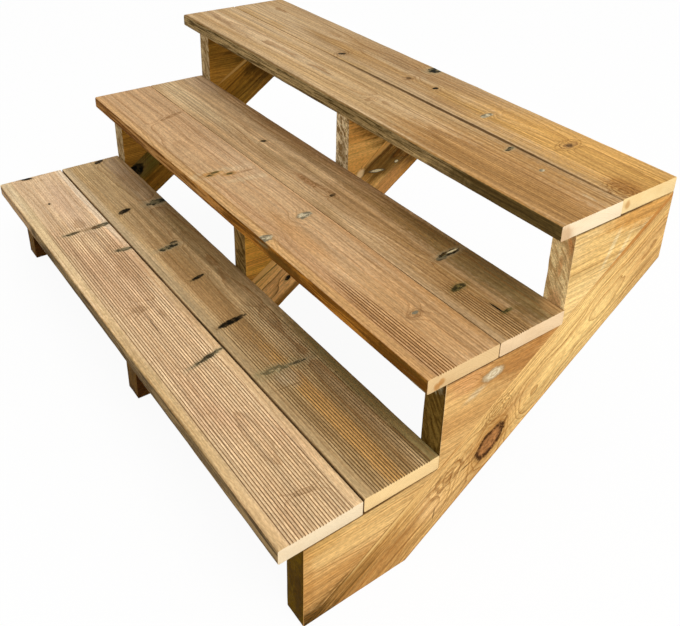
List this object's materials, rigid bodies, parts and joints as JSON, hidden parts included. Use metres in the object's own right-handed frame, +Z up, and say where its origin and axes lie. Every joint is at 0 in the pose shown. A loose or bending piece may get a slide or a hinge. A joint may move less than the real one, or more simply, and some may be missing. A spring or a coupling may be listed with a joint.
{
  "type": "deck stairs",
  "caption": "Low open-riser wooden deck stairs: reeded decking treads on sloping stringer boards built up with triangular wedges, made to be fixed to a deck's edge.",
  "frame": {"origin": "on the plumb back cut of the middle stringer, half way up the cut and half way along the treads, where the stairs are fastened to a deck's edge", "axes": "+X along the treads, to the right seen from the front; +Y to the rear, out of the back cuts and towards the deck; +Z up"},
  "size_m": [1.25, 0.793, 0.538],
  "materials": {
    "tread_wood": "planed and reeded pressure-treated softwood, lightly weathered",
    "stringer_wood": "sawn pressure-treated softwood"
  },
  "bodies": {
    "root": {"tread_1_front_board": "tread_wood", "tread_1_back_board": "tread_wood", "tread_2_front_board": "tread_wood", "tread_2_back_board": "tread_wood", "tread_3_front_board": "tread_wood", "tread_3_back_board": "tread_wood", "stringer_left_diagonal": "stringer_wood", "stringer_left_wedge_1": "stringer_wood", "stringer_left_wedge_2": "stringer_wood", "stringer_left_wedge_3": "stringer_wood", "stringer_middle_diagonal": "stringer_wood", "stringer_middle_wedge_1": "stringer_wood", "stringer_middle_wedge_2": "stringer_wood", "stringer_middle_wedge_3": "stringer_wood", "stringer_right_diagonal": "stringer_wood", "stringer_right_wedge_1": "stringer_wood", "stringer_right_wedge_2": "stringer_wood", "stringer_right_wedge_3": "stringer_wood"}
  },
  "joints": []
}
